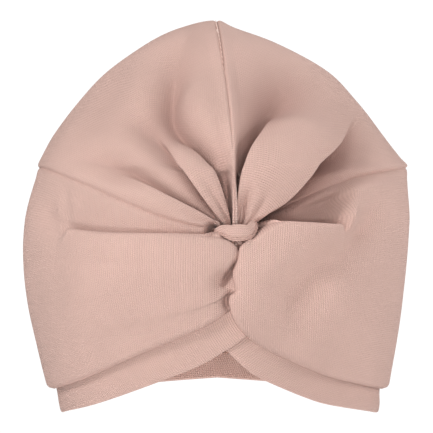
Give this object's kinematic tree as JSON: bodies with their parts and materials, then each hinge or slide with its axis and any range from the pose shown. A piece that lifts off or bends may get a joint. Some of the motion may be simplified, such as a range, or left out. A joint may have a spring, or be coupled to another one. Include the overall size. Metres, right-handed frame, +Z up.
{
  "type": "turban headwrap",
  "caption": "Soft knitted turban headwrap, filled out as worn, with a gathered crown, a front knot loop and crossed bands with folded hems.",
  "frame": {"origin": "middle of the head opening, level with the lowest points of the hem, where a head goes in", "axes": "+Z up towards the crown, -Y the way the wearer looks and where the knot is, +X to the right seen from the front"},
  "size_m": [0.2091, 0.2247, 0.2101],
  "materials": {
    "jersey": "matt fine double jersey, dusty pink"
  },
  "bodies": {
    "root": {"crown_left": "jersey", "crown_right": "jersey", "wrap_left": "jersey", "wrap_right": "jersey", "hem_left": "jersey", "hem_right": "jersey", "knot_loop": "jersey"}
  },
  "joints": []
}
